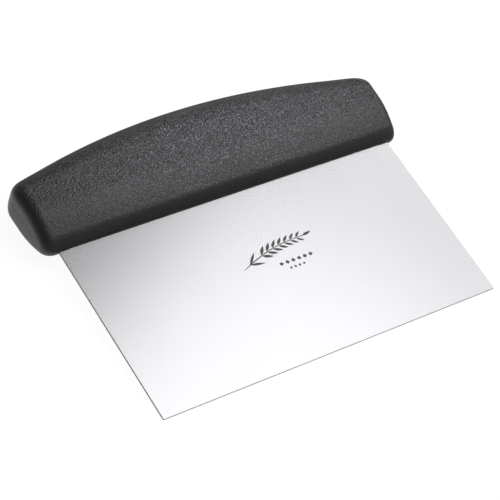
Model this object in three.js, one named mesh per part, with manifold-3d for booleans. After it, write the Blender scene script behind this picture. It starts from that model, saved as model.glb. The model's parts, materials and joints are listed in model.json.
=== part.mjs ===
// Bench scraper: a plain stainless sheet blade insert-moulded into an arched polypropylene handle.
//
// Working frame (millimetres): X along the handle, Y from the scraping edge up to the handle, Z through the
// blade's thickness; y = 0 is the line where the blade enters the handle. At the end the whole tool is laid down
// on its back face, belly of the handle and scraping edge both on the bench, with +Z up.
import * as THREE from 'three';
import { mergeVertices } from 'three/addons/utils/BufferGeometryUtils.js';
import Module from 'manifold-3d';

// ---- blade -------------------------------------------------------------------------------------------------
const BLADE_WIDTH = 152.4;        // 6 in sheet
const BLADE_REACH = 76.2;         // 3 in from the handle to the scraping edge
const BLADE_THICK = 0.9;
const EDGE_THICK = 0.5;           // the scraping edge is eased, not sharpened
const EDGE_LAND = 1.6;            // length of the eased strip
const TANG_WIDTH = 144.4;         // hidden in the handle, one shoulder at each end
const TANG_DEPTH = 25.0;
const TANG_CORNER = 4.0;
const KEY_PITCH = 44.0;           // three slots that the plastic flows through
const KEY_LENGTH = 18.0;
const KEY_WIDTH = 8.0;
const KEY_Y = 13.5;

// ---- handle ------------------------------------------------------------------------------------------------
const END_X_LOW = 81.89;          // half length at the slot line
const END_X_HIGH = 82.99;         // half length where the end would meet the crown
const END_HEIGHT = 30.33;         // height of that corner
const CROWN_HEIGHT = 42.86;       // height of the arched crown in the middle
const R_TOP_CORNER = 7.79;        // corner radii of the outline
const R_LOW_CORNER = 4.73;
const HALF_LOW = 3.0;             // half thickness at the slot line
const HALF_FULL = 8.74;           // half thickness of the grip
const FULL_FROM = 17.77;          // the section swells until this height
const ROUND_LOW = 4.60;           // depth of the rounding between broad face and outline: at the slot face,
const ROUND_END = 4.64;           // round the ends,
const ROUND_SHOULDER = 7.63;      // where the crown begins,
const ROUND_CROWN = 13.5;         // and in the middle of the crown

// ---- fits and mesh steps -----------------------------------------------------------------------------------
const CLEAR = 0.1;                // gap between the tang and the plastic round it
const STEPS_CORNER = 7;
const STEPS_END = 12;
const STEPS_CROWN = 18;
const STEPS_ROUND = 8;

const wasm = await Module();
wasm.setup();

function solid(geometry) {
  const g = geometry.clone();
  g.deleteAttribute('normal');
  g.deleteAttribute('uv');
  const m = mergeVertices(g, 1e-5);
  return new wasm.Manifold(new wasm.Mesh({
    numProp: 3,
    vertProperties: new Float32Array(m.attributes.position.array),
    triVerts: new Uint32Array(m.index.array),
  }));
}

function geometryOf(manifold) {
  const mesh = manifold.getMesh();
  const g = new THREE.BufferGeometry();
  const xyz = new Float32Array(mesh.numVert * 3);
  for (let i = 0; i < mesh.numVert; i += 1) {
    for (let k = 0; k < 3; k += 1) xyz[3 * i + k] = mesh.vertProperties[i * mesh.numProp + k];
  }
  g.setAttribute('position', new THREE.BufferAttribute(xyz, 3));
  g.setIndex(new THREE.BufferAttribute(new Uint32Array(mesh.triVerts), 1));
  g.computeVertexNormals();
  return g;
}

// ---- tang: a rounded tongue with three long slots; grow > 0 gives the pocket it leaves in the plastic --------
function tangSolid(grow) {
  const hw = TANG_WIDTH / 2 + grow;
  const top = TANG_DEPTH + grow;
  const r = TANG_CORNER + grow;
  const low = grow > 0 ? -CLEAR - 1.0 : -CLEAR;
  const s = new THREE.Shape();
  s.moveTo(-hw, low);
  s.lineTo(hw, low);
  s.lineTo(hw, top - r);
  s.absarc(hw - r, top - r, r, 0, Math.PI / 2, false);
  s.lineTo(-hw + r, top);
  s.absarc(-hw + r, top - r, r, Math.PI / 2, Math.PI, false);
  s.lineTo(-hw, low);
  for (const n of [-1, 0, 1]) {
    const kr = KEY_WIDTH / 2 - grow;
    const kx = KEY_LENGTH / 2 - KEY_WIDTH / 2;
    const hole = new THREE.Path();
    hole.moveTo(n * KEY_PITCH - kx, KEY_Y - kr);
    hole.absarc(n * KEY_PITCH - kx, KEY_Y, kr, -Math.PI / 2, Math.PI / 2, true);
    hole.lineTo(n * KEY_PITCH + kx, KEY_Y + kr);
    hole.absarc(n * KEY_PITCH + kx, KEY_Y, kr, Math.PI / 2, -Math.PI / 2, true);
    hole.lineTo(n * KEY_PITCH - kx, KEY_Y - kr);
    s.holes.push(hole);
  }
  const t = BLADE_THICK + 2 * grow;
  const g = new THREE.ExtrudeGeometry(s, { depth: t, bevelEnabled: false, curveSegments: 8, steps: 1 });
  g.translate(0, 0, -t / 2);
  return solid(g);
}

// ---- blade: the sheet drawn in side view, with its eased edge, run along X; then the tang joined on ------------
function bladeGeometry() {
  const side = new THREE.Shape();
  side.moveTo(-BLADE_REACH, -EDGE_THICK / 2);
  side.lineTo(-BLADE_REACH + EDGE_LAND, -BLADE_THICK / 2);
  side.lineTo(-CLEAR, -BLADE_THICK / 2);
  side.lineTo(-CLEAR, BLADE_THICK / 2);
  side.lineTo(-BLADE_REACH + EDGE_LAND, BLADE_THICK / 2);
  side.lineTo(-BLADE_REACH, EDGE_THICK / 2);
  side.lineTo(-BLADE_REACH, -EDGE_THICK / 2);
  const g = new THREE.ExtrudeGeometry(side, { depth: BLADE_WIDTH, bevelEnabled: false, steps: 1 });
  g.translate(0, 0, -BLADE_WIDTH / 2);
  g.applyMatrix4(new THREE.Matrix4().makeBasis(
    new THREE.Vector3(0, 1, 0), new THREE.Vector3(0, 0, 1), new THREE.Vector3(1, 0, 0)));
  return geometryOf(solid(g).add(tangSolid(0)));
}

// ---- handle --------------------------------------------------------------------------------------------------
// Right half of the outline, from the slot face round the end to the top of the crown. Each entry holds a point,
// its outward normal, and a number that runs 0 (slot face), 1 (end), 2 (shoulder), 3 (middle of the crown) to
// blend the edge rounding.
function halfOutline() {
  const rise = CROWN_HEIGHT - END_HEIGHT;
  const R = (END_X_HIGH * END_X_HIGH + rise * rise) / (2 * rise);
  const centre = new THREE.Vector2(0, CROWN_HEIGHT - R);
  const low = new THREE.Vector2(END_X_LOW, 0);
  const along = new THREE.Vector2(END_X_HIGH, END_HEIGHT).sub(low).normalize();
  const inward = new THREE.Vector2(-along.y, along.x);
  const lowCentre = new THREE.Vector2(
    (R_LOW_CORNER - R_LOW_CORNER * inward.y) / inward.x + END_X_LOW, R_LOW_CORNER);
  const o = low.clone().addScaledVector(inward, R_TOP_CORNER).sub(centre);
  const b = o.dot(along);
  const t = -b + Math.sqrt(b * b - (o.lengthSq() - (R - R_TOP_CORNER) ** 2));
  const topCentre = centre.clone().add(o).addScaledVector(along, t);
  const endAngle = Math.atan2(-inward.y, -inward.x);
  const q = topCentre.clone().sub(centre);
  const crownAngle = Math.atan2(q.y, q.x);
  const out = [];
  const arc = (c, r, a0, a1, n, k0, k1, from) => {
    for (let i = from; i <= n; i += 1) {
      const a = a0 + (a1 - a0) * (i / n);
      out.push({
        p: new THREE.Vector2(c.x + r * Math.cos(a), c.y + r * Math.sin(a)),
        n: new THREE.Vector2(Math.cos(a), Math.sin(a)),
        k: k0 + (k1 - k0) * (i / n),
      });
    }
  };
  arc(lowCentre, R_LOW_CORNER, -Math.PI / 2, endAngle, STEPS_CORNER, 0, 1, 0);
  const p0 = lowCentre.clone().addScaledVector(inward, -R_LOW_CORNER);
  const p1 = topCentre.clone().addScaledVector(inward, -R_TOP_CORNER);
  for (let i = 1; i < STEPS_END; i += 1) {
    out.push({ p: p0.clone().lerp(p1, i / STEPS_END), n: inward.clone().negate(), k: 1 });
  }
  arc(topCentre, R_TOP_CORNER, endAngle, crownAngle, STEPS_CORNER, 1, 2, 0);
  arc(centre, R, crownAngle, Math.PI / 2, STEPS_CROWN, 2, 3, 1);
  return out;
}

// Half thickness of the broad face at height y: it swells from the slot face to the full grip.
function halfThickness(y) {
  const u = Math.min(Math.max(y / FULL_FROM, 0), 1);
  return HALF_LOW + (HALF_FULL - HALF_LOW) * Math.sin(u * Math.PI / 2);
}

function ease(u) {
  return u * u * (3 - 2 * u);
}

function roundingAt(k) {
  if (k <= 1) return ROUND_LOW + (ROUND_END - ROUND_LOW) * ease(k);
  if (k <= 2) return ROUND_END + (ROUND_SHOULDER - ROUND_END) * ease(k - 1);
  return ROUND_SHOULDER + (ROUND_CROWN - ROUND_SHOULDER) * Math.sin((k - 2) * Math.PI / 2);
}

function handleShell() {
  const half = halfOutline();
  const loop = half.slice();
  for (let i = half.length - 2; i >= 0; i -= 1) {
    const e = half[i];
    loop.push({ p: new THREE.Vector2(-e.p.x, e.p.y), n: new THREE.Vector2(-e.n.x, e.n.y), k: e.k });
  }
  const N = loop.length;
  const xyz = [];
  const index = [];
  const rings = [];
  for (let j = -STEPS_ROUND; j <= STEPS_ROUND; j += 1) {
    const a = (Math.abs(j) / STEPS_ROUND) * (Math.PI / 2);
    const ring = [];
    for (const e of loop) {
      const r = roundingAt(e.k);
      const p = e.p.clone().addScaledVector(e.n, -r * (1 - Math.cos(a)));
      const t = halfThickness(p.y);
      const rr = Math.min(r, t);
      const z = (t - rr) + rr * Math.sin(a);
      ring.push(xyz.length / 3);
      xyz.push(p.x, p.y, (j < 0 ? -1 : 1) * z);
    }
    rings.push(ring);
  }
  // where the rounding is smaller than the half thickness the wall has a flat band between z = -(t-r) and +(t-r)
  const wallLow = [];
  const mid = STEPS_ROUND;
  for (const e of loop) {
    const r = roundingAt(e.k);
    const t = halfThickness(e.p.y);
    wallLow.push(xyz.length / 3);
    xyz.push(e.p.x, e.p.y, -(t - Math.min(r, t)));
  }
  const band = (lo, hi) => {
    for (let i = 0; i < N; i += 1) {
      const i2 = (i + 1) % N;
      index.push(lo[i], lo[i2], hi[i2], lo[i], hi[i2], hi[i]);
    }
  };
  for (let j = 0; j < mid - 1; j += 1) band(rings[j], rings[j + 1]);
  band(rings[mid - 1], wallLow);
  band(wallLow, rings[mid]);
  for (let j = mid; j < rings.length - 1; j += 1) band(rings[j], rings[j + 1]);
  // broad faces: straight rungs between mirrored points of the innermost ring
  const H = half.length;
  const face = (ring, up) => {
    const left = (i) => (i === H - 1 ? ring[H - 1] : ring[N - 1 - i]);
    for (let i = 0; i < H - 1; i += 1) {
      const a = left(i);
      const b = ring[i];
      const c = ring[i + 1];
      const d = left(i + 1);
      if (up) index.push(a, b, c); else index.push(a, c, b);
      if (d !== c) { if (up) index.push(a, c, d); else index.push(a, d, c); }
    }
  };
  face(rings[rings.length - 1], true);
  face(rings[0], false);
  const g = new THREE.BufferGeometry();
  g.setAttribute('position', new THREE.Float32BufferAttribute(xyz, 3));
  g.setIndex(index);
  return solid(g);
}

function handleGeometry() {
  return geometryOf(handleShell().subtract(tangSolid(CLEAR)));
}

// ---- the two pieces, each in its own mesh ---------------------------------------------------------------------
const blade = new THREE.Mesh(
  bladeGeometry(),
  new THREE.MeshStandardMaterial({ color: 0xc9cacb, roughness: 0.28, metalness: 1.0 }),
);
blade.name = 'blade';

const handle = new THREE.Mesh(
  handleGeometry(),
  new THREE.MeshStandardMaterial({ color: 0x1d1d1f, roughness: 0.55, metalness: 0.0 }),
);
handle.name = 'handle';

// ---- laid down on the bench -----------------------------------------------------------------------------------
// Turn about X until the belly of the handle and the scraping edge are equally low, then put the middle of the
// footprint over the origin and the lowest points at z = 0.
function lowest(geometry, tilt) {
  const s = Math.sin(tilt);
  const c = Math.cos(tilt);
  const p = geometry.attributes.position;
  let low = Infinity;
  for (let i = 0; i < p.count; i += 1) low = Math.min(low, p.getY(i) * s + p.getZ(i) * c);
  return low;
}
let tiltLow = 0;
let tiltHigh = Math.PI / 12;
for (let i = 0; i < 40; i += 1) {
  const t = (tiltLow + tiltHigh) / 2;
  if (lowest(handle.geometry, t) < lowest(blade.geometry, t)) tiltLow = t; else tiltHigh = t;
}
const lyingTilt = (tiltLow + tiltHigh) / 2;

const tool = new THREE.Group();
tool.add(handle, blade);
tool.rotation.x = lyingTilt;

const group = new THREE.Group();
group.name = 'bench_scraper';
group.add(tool);
group.updateMatrixWorld(true);
const box = new THREE.Box3().setFromObject(group, true);
tool.position.set(-(box.min.x + box.max.x) / 2, -(box.min.y + box.max.y) / 2, -box.min.z);
group.updateMatrixWorld(true);

export default group;
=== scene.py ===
import json
import math

import bmesh
import bpy
import numpy as np
from mathutils import Matrix, Vector


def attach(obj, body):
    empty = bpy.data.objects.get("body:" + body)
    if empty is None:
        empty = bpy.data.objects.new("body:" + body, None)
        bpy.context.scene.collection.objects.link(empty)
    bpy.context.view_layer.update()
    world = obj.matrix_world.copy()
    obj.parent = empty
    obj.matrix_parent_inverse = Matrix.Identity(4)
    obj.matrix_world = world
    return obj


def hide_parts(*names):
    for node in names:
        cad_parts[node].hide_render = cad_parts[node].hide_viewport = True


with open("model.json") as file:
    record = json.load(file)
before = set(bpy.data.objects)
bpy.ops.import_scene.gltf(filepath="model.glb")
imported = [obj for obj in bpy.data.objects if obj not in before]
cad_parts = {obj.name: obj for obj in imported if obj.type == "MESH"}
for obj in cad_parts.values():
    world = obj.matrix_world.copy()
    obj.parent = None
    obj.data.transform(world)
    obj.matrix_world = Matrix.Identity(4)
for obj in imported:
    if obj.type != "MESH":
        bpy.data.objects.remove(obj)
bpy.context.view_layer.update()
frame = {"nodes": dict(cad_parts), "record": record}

# ---------------------------------------------------------------------------------------------------------------
# Tool frame (mm): X along the handle, Y from the scraping edge to the handle with y = 0 where the blade enters the
# plastic, Z out of the blade's upper face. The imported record's upper-face mount says how that frame lies in the row.
# ---------------------------------------------------------------------------------------------------------------
BLADE_WIDTH, BLADE_REACH, BLADE_THICK = 152.4, 76.2, 0.9
UPPER = next(m for m in frame["record"]["mounts"] if m["name"] == "blade_upper_face")
TILT = math.atan2(-UPPER["axis"][1], UPPER["axis"][2])
TURN = Matrix.Rotation(TILT, 3, "X")
SHIFT = Vector(UPPER["pos_m"]) * 1000.0 - TURN @ Vector((0.0, -45.0, BLADE_THICK / 2))
TURN_NP = np.array(TURN, float)
SHIFT_NP = np.array(SHIFT, float)


def to_row(points):
    """Tool-frame millimetres to row-frame metres."""
    return (np.asarray(points, float) @ TURN_NP.T + SHIFT_NP) / 1000.0


def direction(v):
    return TURN @ Vector(v)


scene = bpy.context.scene


def mesh_object(name, verts, faces):
    me = bpy.data.meshes.new(name)
    me.from_pydata([tuple(v) for v in verts], [], [tuple(f) for f in faces])
    me.update()
    ob = bpy.data.objects.new(name, me)
    scene.collection.objects.link(ob)
    return ob


# ---------------------------------------------------------------------------------------------------------------
# Camera: the photograph's view, solved from the blade's four corners.
# ---------------------------------------------------------------------------------------------------------------
RIGHT = (0.8149630961, -0.5144256505, 0.2668359085)
DOWN = (-0.2900359073, -0.7606966254, -0.5807063083)
AHEAD = (0.5017113956, 0.3958622161, -0.7691415873)
CAM_T = (-7.3144463458, -21.1716508504, 746.4030834238)
FOCAL_PX = 1951.1928944

axes = np.array([RIGHT, DOWN, AHEAD])
centre_tool = -axes.T @ np.array(CAM_T)
cam_data = bpy.data.cameras.new("camera")
cam_data.sensor_width = 36.0
cam_data.lens = 36.0 * FOCAL_PX / 500.0
cam_data.shift_x = -0.001
cam_data.shift_y = 0.001
cam_data.clip_start = 0.01
cam_data.clip_end = 50.0
cam = bpy.data.objects.new("camera", cam_data)
scene.collection.objects.link(cam)
r, d, a = direction(RIGHT), direction(DOWN), direction(AHEAD)
place = Matrix((
    (r.x, -d.x, -a.x, 0.0),
    (r.y, -d.y, -a.y, 0.0),
    (r.z, -d.z, -a.z, 0.0),
    (0.0, 0.0, 0.0, 1.0),
))
place.translation = Vector(to_row([centre_tool])[0])
cam.matrix_world = place
scene.camera = cam


# ---------------------------------------------------------------------------------------------------------------
# Materials
# ---------------------------------------------------------------------------------------------------------------
class Nodes:
    def __init__(self, name):
        self.mat = bpy.data.materials.new(name)
        self.mat.use_nodes = True
        self.tree = self.mat.node_tree
        self.tree.nodes.clear()
        self.out = self.add("ShaderNodeOutputMaterial")
        self.bsdf = self.add("ShaderNodeBsdfPrincipled")
        self.link(self.bsdf, "BSDF", self.out, "Surface")
        self.coord = self.add("ShaderNodeTexCoord")

    def add(self, kind, **props):
        n = self.tree.nodes.new(kind)
        for k, v in props.items():
            setattr(n, k, v)
        return n

    def link(self, a, out, b, inp):
        self.tree.links.new(a.outputs[out], b.inputs[inp])

    def mapped(self, scale):
        m = self.add("ShaderNodeMapping")
        m.inputs["Scale"].default_value = scale
        self.link(self.coord, "Object", m, "Vector")
        return m

    def noise(self, vec, scale, detail=2.0, rough=0.5, distortion=0.0):
        n = self.add("ShaderNodeTexNoise")
        n.inputs["Scale"].default_value = scale
        n.inputs["Detail"].default_value = detail
        n.inputs["Roughness"].default_value = rough
        n.inputs["Distortion"].default_value = distortion
        self.link(vec, "Vector", n, "Vector")
        return n

    def voronoi(self, vec, scale, feature="F1", smooth=None):
        n = self.add("ShaderNodeTexVoronoi", feature=feature)
        n.inputs["Scale"].default_value = scale
        if smooth is not None and "Smoothness" in n.inputs:
            n.inputs["Smoothness"].default_value = smooth
        self.link(vec, "Vector", n, "Vector")
        return n

    def ramp(self, src, out, stops):
        n = self.add("ShaderNodeValToRGB")
        cr = n.color_ramp
        cr.elements[0].position, cr.elements[0].color = stops[0][0], stops[0][1]
        cr.elements[1].position, cr.elements[1].color = stops[-1][0], stops[-1][1]
        for p, c in stops[1:-1]:
            e = cr.elements.new(p)
            e.color = c
        self.link(src, out, n, "Fac")
        return n

    def span(self, src, out, lo, hi, a=0.0, b=1.0):
        n = self.add("ShaderNodeMapRange")
        n.inputs["From Min"].default_value = a
        n.inputs["From Max"].default_value = b
        n.inputs["To Min"].default_value = lo
        n.inputs["To Max"].default_value = hi
        self.link(src, out, n, "Value")
        return n

    def math(self, op, a, a_out, b=None, b_out=None, value=None):
        n = self.add("ShaderNodeMath", operation=op)
        self.link(a, a_out, n, 0)
        if b is not None:
            self.link(b, b_out, n, 1)
        elif value is not None:
            n.inputs[1].default_value = value
        return n

    def bump(self, src, out, strength, distance, under=None):
        n = self.add("ShaderNodeBump")
        n.inputs["Strength"].default_value = strength
        n.inputs["Distance"].default_value = distance
        self.link(src, out, n, "Height")
        if under is not None:
            self.link(under, "Normal", n, "Normal")
        return n


def grey(v, tint=(1.0, 1.0, 1.0)):
    return (v * tint[0], v * tint[1], v * tint[2], 1.0)


MM = (1000.0, 1000.0, 1000.0)


def plastic():
    """Black polypropylene with the fine spark-eroded grain of its mould, smoother where the mould's rims are polished;
    painted shade darkens its colour on the rims and tilted flanks and dims its flecks towards the ends and the blade.
    """
    m = Nodes("black_grained_plastic")
    mm = m.mapped(MM)
    up = m.add("ShaderNodeVectorMath", operation="DOT_PRODUCT")
    m.link(m.coord, "Normal", up, 0)
    up.inputs[1].default_value = direction((0, 0, 1))
    flat = m.math("ABSOLUTE", up, "Value")
    # mask: 1 on the broad face, 0 on the rims, 0.65 on the end walls; it sets the grain depth and roughness, and as
    # painted shade it darkens the colour where the surface tilts
    face = m.span(flat, "Value", 0.0, 1.0, 0.76, 1.0)
    wall = m.span(flat, "Value", 0.65, 0.0, 0.25, 0.55)
    grain_and_painted_shade = m.math("MAXIMUM", face, "Result", wall, "Result")

    grain = m.noise(mm, 1.2, 1.5, 0.5)
    fine = m.noise(mm, 2.2, 1.0, 0.5)
    pits = m.voronoi(mm, 1.5, "SMOOTH_F1", 0.35)
    broad = m.noise(mm, 0.045, 2.0, 0.5)
    mix = m.math("MULTIPLY_ADD", pits, "Distance", value=-0.55)
    m.link(grain, "Fac", mix, 2)
    height = m.math("MULTIPLY_ADD", fine, "Fac", value=0.40)
    m.link(mix, "Value", height, 2)
    b = m.bump(height, "Value", 1.0, 0.00027)
    depth = m.span(grain_and_painted_shade, "Value", 0.40, 1.0)
    m.link(depth, "Result", b, "Strength")
    m.link(b, "Normal", m.bsdf, "Normal")

    # pale flecks where the peaks of the grain are rubbed
    speck = m.noise(mm, 1.75, 1.0, 0.5)
    flecks = m.ramp(speck, "Fac", [
        (0.0, grey(0.0020, (1.0, 0.99, 1.07))),
        (0.47, grey(0.0035, (1.0, 0.99, 1.08))),
        (0.56, grey(0.050, (1.0, 0.99, 1.06))),
        (0.66, grey(0.175, (1.0, 0.99, 1.04))),
        (1.0, grey(0.245, (1.0, 0.99, 1.04))),
    ])
    # painted shade: the flecks are dimmed towards both ends, most at the left end, and low down towards the blade;
    # they are brightest a little right of the middle
    sides = m.add("ShaderNodeSeparateXYZ")
    m.link(m.coord, "Object", sides, "Vector")
    painted_shade_left = m.span(sides, "X", 0.22, 1.34, -0.082, -0.008)
    painted_shade_right = m.span(sides, "X", 1.34, 0.50, 0.028, 0.082)
    along = m.math("MINIMUM", painted_shade_left, "Result", painted_shade_right, "Result")
    # painted shade: the flecks are dimmed low down, towards the blade
    low = m.span(sides, "Y", 0.68, 1.0, 0.0185, 0.036)
    painted_shade = m.math("MULTIPLY", along, "Value", low, "Result")
    shaded_flecks = m.add("ShaderNodeVectorMath", operation="SCALE")
    m.tree.links.new(flecks.outputs["Color"], shaded_flecks.inputs[0])
    m.tree.links.new(painted_shade.outputs["Value"], shaded_flecks.inputs["Scale"])
    smooth = m.ramp(speck, "Fac", [
        (0.3, grey(0.0040, (1.03, 1.0, 0.98))),
        (0.7, grey(0.0090, (1.03, 1.0, 0.98))),
    ])
    # painted shade: the dark smooth tone is mixed in where the surface tilts from the broad face, darkening the rims
    # and the flanks near the blade; the grain also fades onto the polished rims
    tone = m.add("ShaderNodeMix", data_type="RGBA")
    m.tree.links.new(grain_and_painted_shade.outputs["Value"], tone.inputs[0])
    m.tree.links.new(smooth.outputs["Color"], tone.inputs[6])
    m.tree.links.new(shaded_flecks.outputs["Vector"], tone.inputs[7])
    m.tree.links.new(tone.outputs[2], m.bsdf.inputs["Base Color"])
    rough = m.span(fine, "Fac", 0.26, 0.33, 0.3, 0.7)
    worn = m.span(broad, "Fac", -0.02, 0.02, 0.35, 0.65)
    rubbed = m.span(grain_and_painted_shade, "Value", 0.34, 0.0)
    some = m.math("ADD", rough, "Result", worn, "Result")
    total = m.math("ADD", some, "Value", rubbed, "Result")
    m.link(total, "Value", m.bsdf, "Roughness")
    m.bsdf.inputs["Metallic"].default_value = 0.0
    m.bsdf.inputs["IOR"].default_value = 1.49
    m.bsdf.inputs["Specular IOR Level"].default_value = 0.60
    return m.mat


def steel_face():
    """Rolled and finely satin-polished stainless sheet: a soft reflection with grain lines along the handle."""
    m = Nodes("satin_stainless")
    lines = m.mapped((40.0, 9000.0, 9000.0))
    long_lines = m.mapped((9.0, 2600.0, 2600.0))
    mm = m.mapped(MM)
    a = m.noise(lines, 1.0, 4.0, 0.6)
    b = m.noise(long_lines, 1.0, 3.0, 0.55)
    cloud = m.noise(mm, 0.03, 3.0, 0.55)
    blend = m.math("MULTIPLY_ADD", b, "Fac", value=0.6)
    m.link(a, "Fac", blend, 2)
    rough = m.span(blend, "Value", 0.236, 0.246, 0.5, 1.1)
    soil = m.span(cloud, "Fac", -0.006, 0.008, 0.3, 0.7)
    total = m.math("ADD", rough, "Result", soil, "Result")
    m.link(total, "Value", m.bsdf, "Roughness")
    tone = m.ramp(blend, "Value", [
        (0.0, grey(0.580, (1.0, 1.0, 0.992))),
        (1.0, grey(0.596, (1.0, 1.0, 0.992))),
    ])
    m.link(tone, "Color", m.bsdf, "Base Color")
    bp = m.bump(blend, "Value", 0.006, 0.000003)
    m.link(bp, "Normal", m.bsdf, "Normal")
    m.bsdf.inputs["Metallic"].default_value = 1.0
    return m.mat


def steel_edge():
    """The sheared and eased rim of the sheet: rougher, with drag lines across the thickness; its colour is painted
    dark as painted shade, for the shade the rim reflects.
    """
    m = Nodes("sheared_stainless_painted_shade")
    lines = m.mapped((3500.0, 3500.0, 300.0))
    n = m.noise(lines, 1.0, 3.0, 0.6)
    rough = m.span(n, "Fac", 0.34, 0.52, 0.3, 0.7)
    m.link(rough, "Result", m.bsdf, "Roughness")
    # painted shade: the rim's colour is painted dark, near black for steel, to stand for the shade it reflects
    tone = m.ramp(n, "Fac", [(0.25, grey(0.07)), (0.75, grey(0.15))])
    m.link(tone, "Color", m.bsdf, "Base Color")
    bp = m.bump(n, "Fac", 0.25, 0.00003)
    m.link(bp, "Normal", m.bsdf, "Normal")
    m.bsdf.inputs["Metallic"].default_value = 1.0
    return m.mat


def etch():
    """Dark oxide left by electrolytic marking."""
    m = Nodes("etched_oxide")
    mm = m.mapped(MM)
    n = m.noise(mm, 3.2, 3.0, 0.65)
    tone = m.ramp(n, "Fac", [(0.30, grey(0.050, (1.0, 0.98, 0.96))), (0.70, grey(0.150, (1.0, 0.98, 0.96)))])
    m.link(tone, "Color", m.bsdf, "Base Color")
    rough = m.span(n, "Fac", 0.45, 0.68, 0.3, 0.7)
    m.link(rough, "Result", m.bsdf, "Roughness")
    bp = m.bump(n, "Fac", 0.2, 0.00002)
    m.link(bp, "Normal", m.bsdf, "Normal")
    m.bsdf.inputs["Metallic"].default_value = 0.35
    return m.mat


PLASTIC, STEEL, RIM, ETCH = plastic(), steel_face(), steel_edge(), etch()

# ---------------------------------------------------------------------------------------------------------------
# Handle: one moulded bar. The outline is walked once; at each step a rounded profile runs from the mould's parting
# plane (z = 0) in to the broad face, whose half thickness swells with height.
# ---------------------------------------------------------------------------------------------------------------
END_X_LOW, END_X_HIGH, END_HEIGHT, CROWN_HEIGHT = 81.89, 82.99, 30.33, 42.86
R_TOP_CORNER, R_LOW_CORNER = 7.79, 4.73
HALF_LOW, HALF_FULL, FULL_FROM = 3.0, 8.74, 17.77
ROUND_LOW, ROUND_END, ROUND_SHOULDER, ROUND_CROWN = 4.60, 4.64, 7.63, 13.5
TANG_WIDTH, TANG_DEPTH, TANG_CORNER = 144.4, 25.0, 4.0
KEY_PITCH, KEY_LENGTH, KEY_WIDTH, KEY_Y, CLEAR = 44.0, 18.0, 8.0, 13.5, 0.1

N_BOTTOM, N_LOW, N_END, N_TOP, N_CROWN = 74, 8, 28, 10, 72      # N_BOTTOM + N_LOW == N_TOP + N_CROWN
ROWS = 20
RIDGE = 0.045                                                    # height of the witness line on the parting plane


def ease(u):
    return u * u * (3 - 2 * u)


def half_thickness(y):
    u = np.clip(np.asarray(y, float) / FULL_FROM, 0, 1)
    return HALF_LOW + (HALF_FULL - HALF_LOW) * np.sin(u * math.pi / 2)


def half_outline():
    rise = CROWN_HEIGHT - END_HEIGHT
    big = (END_X_HIGH ** 2 + rise ** 2) / (2 * rise)
    c0 = np.array([0.0, CROWN_HEIGHT - big])
    low = np.array([END_X_LOW, 0.0])
    along = np.array([END_X_HIGH, END_HEIGHT]) - low
    along /= np.linalg.norm(along)
    inward = np.array([-along[1], along[0]])
    low_c = np.array([(R_LOW_CORNER - R_LOW_CORNER * inward[1]) / inward[0] + END_X_LOW, R_LOW_CORNER])
    o = low + inward * R_TOP_CORNER - c0
    b = o @ along
    top_c = c0 + o + along * (-b + math.sqrt(b * b - (o @ o - (big - R_TOP_CORNER) ** 2)))
    end_a = math.atan2(-inward[1], -inward[0])
    q = top_c - c0
    crown_a = math.atan2(q[1], q[0])
    P, N, K = [], [], []

    def put(p, n, k):
        P.append(np.array(p, float))
        N.append(np.array(n, float))
        K.append(k)

    for i in range(N_BOTTOM):
        put((low_c[0] * i / N_BOTTOM, 0.0), (0.0, -1.0), 0.0)

    def arc(c, rad, a0, a1, n, k0, k1, first):
        for i in range(first, n + 1):
            t = a0 + (a1 - a0) * i / n
            put(c + rad * np.array([math.cos(t), math.sin(t)]), (math.cos(t), math.sin(t)), k0 + (k1 - k0) * i / n)

    arc(low_c, R_LOW_CORNER, -math.pi / 2, end_a, 2 * N_LOW, 0, 1, 0)
    p0, p1 = low_c - inward * R_LOW_CORNER, top_c - inward * R_TOP_CORNER
    for i in range(1, N_END):
        put(p0 + (p1 - p0) * i / N_END, -inward, 1.0)
    arc(top_c, R_TOP_CORNER, end_a, crown_a, 2 * N_TOP, 1, 2, 0)
    arc(c0, big, crown_a, math.pi / 2, N_CROWN, 2, 3, 1)
    return np.array(P), np.array(N), np.array(K)


def rounding(k):
    return np.where(
        k <= 1, ROUND_LOW + (ROUND_END - ROUND_LOW) * ease(np.clip(k, 0, 1)),
        np.where(k <= 2, ROUND_END + (ROUND_SHOULDER - ROUND_END) * ease(np.clip(k - 1, 0, 1)),
                 ROUND_SHOULDER + (ROUND_CROWN - ROUND_SHOULDER) * np.sin(np.clip(k - 2, 0, 1) * math.pi / 2)))


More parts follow.
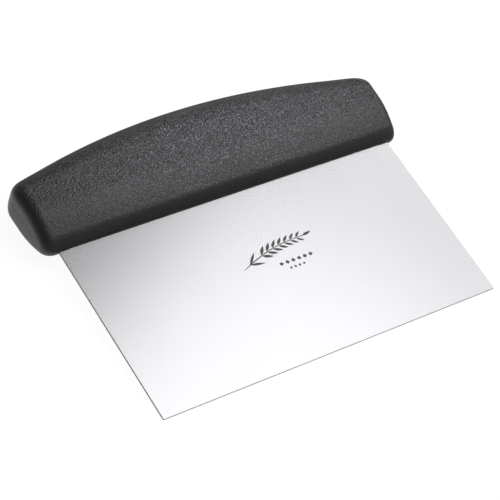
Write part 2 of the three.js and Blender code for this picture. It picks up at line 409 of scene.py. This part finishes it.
def handle_mesh():
    P, N, K = half_outline()
    n = len(P) - 1
    mirror = slice(n - 1, 0, -1)
    P = np.concatenate([P, P[mirror] * [-1, 1]])
    N = np.concatenate([N, N[mirror] * [-1, 1]])
    K = np.concatenate([K, K[mirror]])
    count = len(P)
    depth = rounding(K)
    ridge = RIDGE * ease(np.clip((K - 0.35) / 0.65, 0, 1))
    lengths0 = [0.0, 0.10, 0.22]
    upper = np.zeros((len(lengths0) + ROWS, count, 3))
    for i in range(count):
        rad = depth[i]
        t0 = float(half_thickness(P[i, 1]))
        wall = t0 - min(rad, t0)
        al = np.linspace(0, math.pi / 2, 61)
        dd = rad * (1 - np.cos(al))
        yy = P[i, 1] - N[i, 1] * dd
        t = half_thickness(yy)
        rr = np.minimum(rad, t)
        zz = (t - rr) + rr * np.sin(al)
        if wall > 1e-6:
            dd = np.concatenate([[0.0], dd])
            zz = np.concatenate([[0.0], zz])
        run = np.concatenate([[0.0], np.cumsum(np.hypot(np.diff(dd), np.diff(zz)))])
        keep = np.concatenate([[True], np.diff(run) > 1e-9])
        run, dd, zz = run[keep], dd[keep], zz[keep]
        total = run[-1]
        at = np.array(lengths0 + [lengths0[-1] + (total - lengths0[-1]) * (j + 1) / ROWS for j in range(ROWS)])
        d_at, z_at = np.interp(at, run, dd), np.interp(at, run, zz)
        out = np.zeros(len(at))
        out[0], out[1] = ridge[i], ridge[i] * 0.55
        q = P[i] - N[i] * (d_at - out)[:, None]
        upper[:, i, :2] = q
        upper[:, i, 2] = z_at
    rows = [upper[0]] + [upper[j] for j in range(1, len(upper))]
    verts, ring = [], {}
    base = 0
    for j in range(len(rows)):
        ring[j] = np.arange(base, base + count)
        verts.append(rows[j])
        base += count
    for j in range(1, len(rows)):
        ring[-j] = np.arange(base, base + count)
        verts.append(rows[j] * [1, 1, -1])
        base += count
    faces = []
    top = len(rows) - 1
    for j in range(-top, top):
        lo, hi = ring[j], ring[j + 1]
        for i in range(count):
            k = (i + 1) % count
            faces.append((lo[i], lo[k], hi[k], hi[i]))
    i_low, i_top = N_BOTTOM + N_LOW, N_BOTTOM + 2 * N_LOW + N_END + N_TOP
    bottom = [(count - i_low + s) % count for s in range(2 * i_low + 1)]
    crown = [count - i_top - s for s in range(2 * (n - i_top) + 1)]
    right = list(range(i_low, i_top + 1))
    left = [count - s for s in range(i_low, i_top + 1)]
    assert len(bottom) == len(crown), (len(bottom), len(crown))
    nu, nv = len(bottom) - 1, len(right) - 1
    for sign in (1, -1):
        loop = ring[top * sign]
        flat = rows[top][:, :2]
        B, C, R_, L = flat[bottom], flat[crown], flat[right], flat[left]
        grid = np.zeros((nv + 1, nu + 1), int)
        extra = []
        for v in range(nv + 1):
            for u in range(nu + 1):
                if v == 0:
                    grid[v, u] = loop[bottom[u]]
                elif v == nv:
                    grid[v, u] = loop[crown[u]]
                elif u == 0:
                    grid[v, u] = loop[left[v]]
                elif u == nu:
                    grid[v, u] = loop[right[v]]
                else:
                    fu, fv = u / nu, v / nv
                    p = ((1 - fv) * B[u] + fv * C[u] + (1 - fu) * L[v] + fu * R_[v]
                         - ((1 - fu) * (1 - fv) * B[0] + fu * (1 - fv) * B[-1] + (1 - fu) * fv * C[0] + fu * fv * C[-1]))
                    extra.append((p[0], p[1], sign * float(half_thickness(p[1]))))
                    grid[v, u] = base + len(extra) - 1
        verts.append(np.array(extra))
        base += len(extra)
        for v in range(nv):
            for u in range(nu):
                q = (grid[v, u], grid[v, u + 1], grid[v + 1, u + 1], grid[v + 1, u])
                faces.append(q if sign > 0 else q[::-1])
    return np.concatenate(verts), faces


def tongue(grow, low):
    """Outline of the tang with its three key slots, as an outer loop and three inner loops, counter-clockwise."""
    hw, topy, rad = TANG_WIDTH / 2 + grow, TANG_DEPTH + grow, TANG_CORNER + grow
    outer = [(-hw, low), (hw, low)]
    for i in range(13):
        t = math.pi / 2 * i / 12
        outer.append((hw - rad + rad * math.cos(t), topy - rad + rad * math.sin(t)))
    for i in range(13):
        t = math.pi / 2 + math.pi / 2 * i / 12
        outer.append((-hw + rad + rad * math.cos(t), topy - rad + rad * math.sin(t)))
    inner = []
    kr, kx = KEY_WIDTH / 2 - grow, KEY_LENGTH / 2 - KEY_WIDTH / 2
    for s in (-1, 0, 1):
        loop = []
        for i in range(17):
            t = -math.pi / 2 + math.pi * i / 16
            loop.append((s * KEY_PITCH + kx + kr * math.cos(t), KEY_Y + kr * math.sin(t)))
        for i in range(17):
            t = math.pi / 2 + math.pi * i / 16
            loop.append((s * KEY_PITCH - kx + kr * math.cos(t), KEY_Y + kr * math.sin(t)))
        inner.append(loop)
    return outer, inner


def prism(name, loop, z0, z1):
    n = len(loop)
    verts = [(x, y, z0) for x, y in loop] + [(x, y, z1) for x, y in loop]
    faces = [tuple(range(n - 1, -1, -1)), tuple(range(n, 2 * n))]
    faces += [(i, (i + 1) % n, n + (i + 1) % n, n + i) for i in range(n)]
    return mesh_object(name, to_row(verts), faces)


def boolean(ob, other, operation):
    m = ob.modifiers.new("cut", "BOOLEAN")
    m.object = other
    m.operation = operation
    m.solver = "EXACT"
    bpy.context.view_layer.update()
    dg = bpy.context.evaluated_depsgraph_get()
    me = bpy.data.meshes.new_from_object(ob.evaluated_get(dg))
    ob.modifiers.clear()
    old = ob.data
    ob.data = me
    bpy.data.meshes.remove(old)
    bpy.data.objects.remove(other, do_unlink=True)


verts, faces = handle_mesh()
handle = mesh_object("handle_grip", to_row(verts), faces)
outer, inner = tongue(CLEAR, -3.0)
half = BLADE_THICK / 2 + CLEAR
pocket = prism("pocket", outer, -half, half)
for i, loop in enumerate(inner):
    boolean(pocket, prism("plug_%d" % i, loop, -half - 1, half + 1), "DIFFERENCE")
boolean(handle, pocket, "DIFFERENCE")
handle.data.materials.clear()
handle.data.materials.append(PLASTIC)
handle.data.shade_smooth()
handle.data.set_sharp_from_angle(angle=math.radians(40))
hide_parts("handle")
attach(handle, "root")

# ---------------------------------------------------------------------------------------------------------------
# Blade: the CAD sheet with its rims softly broken and the two outer corners just relieved.
# ---------------------------------------------------------------------------------------------------------------
bm = bmesh.new()
bm.from_mesh(frame["nodes"]["blade"].data)
bmesh.ops.remove_doubles(bm, verts=bm.verts, dist=2e-6)
bmesh.ops.dissolve_limit(bm, angle_limit=math.radians(0.6), verts=bm.verts, edges=bm.edges, delimit=set())
back = np.linalg.inv(TURN_NP)


def tool(co):
    return back @ (np.array(co) * 1000.0 - SHIFT_NP)


# the scraping edge is eased from the back only, so the front face runs flat to its rim
lift = np.array(direction((0, 0, 1)))
for v in bm.verts:
    at = tool(v.co)
    if at[1] < -76.1 and at[2] > 0:
        v.co = np.array(v.co) + lift * (BLADE_THICK / 2 - at[2]) / 1000.0
bmesh.ops.dissolve_limit(bm, angle_limit=math.radians(0.6), verts=bm.verts, edges=bm.edges, delimit=set())

corner_edges = []
for e in bm.edges:
    pa, pb = tool(e.verts[0].co), tool(e.verts[1].co)
    if abs(abs(pa[0]) - BLADE_WIDTH / 2) < 0.01 and abs(pa[0] - pb[0]) < 0.01 and max(pa[1], pb[1]) < -76.1:
        corner_edges.append(e)
bmesh.ops.bevel(bm, geom=corner_edges, offset=0.00035, segments=4, profile=0.5, affect="EDGES")
sheet_me = bpy.data.meshes.new("blade_sheet")
bm.to_mesh(sheet_me)
bm.free()
blade = bpy.data.objects.new("blade_sheet", sheet_me)
scene.collection.objects.link(blade)
bev = blade.modifiers.new("broken_rim", "BEVEL")
bev.width = 0.00006
bev.segments = 2
bev.limit_method = "ANGLE"
bev.angle_limit = math.radians(30)
bpy.context.view_layer.update()
dg = bpy.context.evaluated_depsgraph_get()
baked = bpy.data.meshes.new_from_object(blade.evaluated_get(dg))
blade.modifiers.clear()
blade.data = baked
baked.materials.clear()
baked.materials.append(STEEL)
baked.materials.append(RIM)
up = np.array(direction((0, 0, 1)))
for p in baked.polygons:
    p.material_index = 0 if abs(np.dot(np.array(p.normal), up)) > 0.985 else 1
baked.shade_smooth()
baked.set_sharp_from_angle(angle=math.radians(24))
flat_edges = {k for p in baked.polygons if p.material_index == 0 for k in p.edge_keys}
for e in baked.edges:
    if e.key in flat_edges:
        e.use_edge_sharp = True
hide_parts("blade")
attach(blade, "root")


# ---------------------------------------------------------------------------------------------------------------
# Generic etched ornament on the blade: an ear of wheat with a row of lozenges, no lettering.
# ---------------------------------------------------------------------------------------------------------------
def leaf(cx, cy, length, width, angle, n=9):
    """A pointed grain lying at the given angle, as a closed counter-clockwise loop."""
    pts = []
    for i in range(n + 1):
        s = i / n
        pts.append((s * length, -width / 2 * math.sin(math.pi * s ** 0.85)))
    for i in range(n - 1, 0, -1):
        s = i / n
        pts.append((s * length, width / 2 * math.sin(math.pi * s ** 0.85)))
    ca, sa = math.cos(angle), math.sin(angle)
    return [(cx + x * ca - y * sa, cy + x * sa + y * ca) for x, y in pts]


def stroke(points, width):
    pts = np.array(points, float)
    tang = np.gradient(pts, axis=0)
    tang /= np.linalg.norm(tang, axis=1)[:, None]
    nrm = np.c_[-tang[:, 1], tang[:, 0]]
    w = np.interp(np.linspace(0, 1, len(pts)), [0, 0.15, 1], [0.5, 1.0, 0.75])[:, None] * width / 2
    return [tuple(p) for p in pts - nrm * w] + [tuple(p) for p in (pts + nrm * w)[::-1]]


def ornament():
    loops = []
    x0, y0 = -14.2, -32.4

    def spine(s):
        return x0 + 33.0 * s, y0 + 5.6 * s + 2.0 * math.sin(math.pi * s)

    loops.append(stroke([spine(s) for s in np.linspace(0, 0.93, 34)], 0.45))
    for i in range(7):
        s = 0.30 + 0.088 * i
        x, y = spine(s)
        xn, yn = spine(s + 0.01)
        a = math.atan2(yn - y, xn - x)
        size = 1.0 - 0.045 * i
        loops.append(leaf(x + 0.30 * math.cos(a + 1.57), y + 0.30 * math.sin(a + 1.57), 4.6 * size, 1.35 * size, a + 0.62))
        loops.append(leaf(x + 0.30 * math.cos(a - 1.57), y + 0.30 * math.sin(a - 1.57), 4.6 * size, 1.35 * size, a - 0.62))
    x, y = spine(0.92)
    loops.append(leaf(x, y, 4.4, 1.2, math.atan2(1.0, 6.0)))
    for side in (1, -1):
        x, y = spine(0.10)
        loops.append(leaf(x, y, 6.4, 1.1, 0.30 + side * 0.50))
    for i in range(6):
        cx, cy = 1.0 + 2.7 * i, -35.2
        loops.append([(cx - 1.0, cy), (cx, cy - 0.9), (cx + 1.0, cy), (cx, cy + 0.9)])
    for i in range(4):
        cx, cy = 3.7 + 2.0 * i, -38.0
        loops.append([(cx - 0.65, cy), (cx, cy - 0.6), (cx + 0.65, cy), (cx, cy + 0.6)])
    return loops


z_face = BLADE_THICK / 2
bm = bmesh.new()
for loop in ornament():
    lo = [bm.verts.new(p) for p in to_row([(x, y, z_face - 0.004) for x, y in loop])]
    hi = [bm.verts.new(p) for p in to_row([(x, y, z_face + 0.012) for x, y in loop])]
    bm.faces.new(lo[::-1])
    bm.faces.new(hi)
    for i in range(len(lo)):
        k = (i + 1) % len(lo)
        bm.faces.new((lo[i], lo[k], hi[k], hi[i]))
bmesh.ops.recalc_face_normals(bm, faces=bm.faces)
bmesh.ops.triangulate(bm, faces=[f for f in bm.faces if len(f.verts) > 4])
mark_me = bpy.data.meshes.new("etched_ornament")
bm.to_mesh(mark_me)
bm.free()
mark = bpy.data.objects.new("etched_ornament", mark_me)
scene.collection.objects.link(mark)
mark_me.materials.append(ETCH)
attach(mark, "root")

# ---------------------------------------------------------------------------------------------------------------
# Floor, light
# ---------------------------------------------------------------------------------------------------------------
floor = mesh_object("floor", [(-8, -8, 0), (8, -8, 0), (8, 8, 0), (-8, 8, 0)], [(0, 1, 2, 3)])
fm = Nodes("pale_floor")
fm.bsdf.inputs["Base Color"].default_value = (0.16, 0.16, 0.16, 1)
fm.bsdf.inputs["Roughness"].default_value = 1.0
fm.bsdf.inputs["Specular IOR Level"].default_value = 0.0
fm.bsdf.inputs["Emission Color"].default_value = (1, 1, 1, 1)
fm.bsdf.inputs["Emission Strength"].default_value = 0.925
floor.data.materials.append(fm.mat)

world = bpy.data.worlds.new("studio")
scene.world = world
world.use_nodes = True
world.node_tree.nodes["Background"].inputs["Color"].default_value = (0.060, 0.060, 0.062, 1)
world.node_tree.nodes["Background"].inputs["Strength"].default_value = 1.0


def softbox(name, centre, u, v, width, height, radiance):
    """A rectangular soft lamp facing the object; u and v are its edge directions."""
    u, v, centre = Vector(u).normalized(), Vector(v), Vector(centre)
    v = (v - u * v.dot(u)).normalized()
    if u.cross(v).dot(centre) < 0:
        u = -u
    w = u.cross(v)
    data = bpy.data.lights.new(name, "AREA")
    data.shape = "RECTANGLE"
    data.size, data.size_y = width, height
    data.energy = radiance * math.pi * width * height
    data.color = (1.0, 0.985, 1.025)
    ob = bpy.data.objects.new(name, data)
    scene.collection.objects.link(ob)
    m = Matrix(((u.x, v.x, w.x, 0), (u.y, v.y, w.y, 0), (u.z, v.z, w.z, 0), (0, 0, 0, 1)))
    m.translation = centre
    ob.matrix_world = m
    return ob


softbox("overhead_front", (0.649, -0.479, 0.95), (0.903, 0.429, 0), (-0.429, 0.903, 0), 0.845, 1.740, 1.860)
softbox("overhead_left", (-0.215, -0.330, 1.05), (0.741, 0.671, 0), (-0.671, 0.741, 0), 1.527, 1.597, 0.200)
softbox("right_wall", (1.150, 0.228, 0.866), (-0.477, 0.879, 0), (0, 0, 1), 1.996, 0.402, 3.400)
softbox("back_wall", (-0.228, 1.178, 0.899), (0.982, 0.190, 0), (0, 0, 1), 1.294, 0.824, 0.465)

scene.view_settings.view_transform = "Standard"
scene.view_settings.look = "None"
scene.view_settings.exposure = 0.0
scene.view_settings.gamma = 1.0
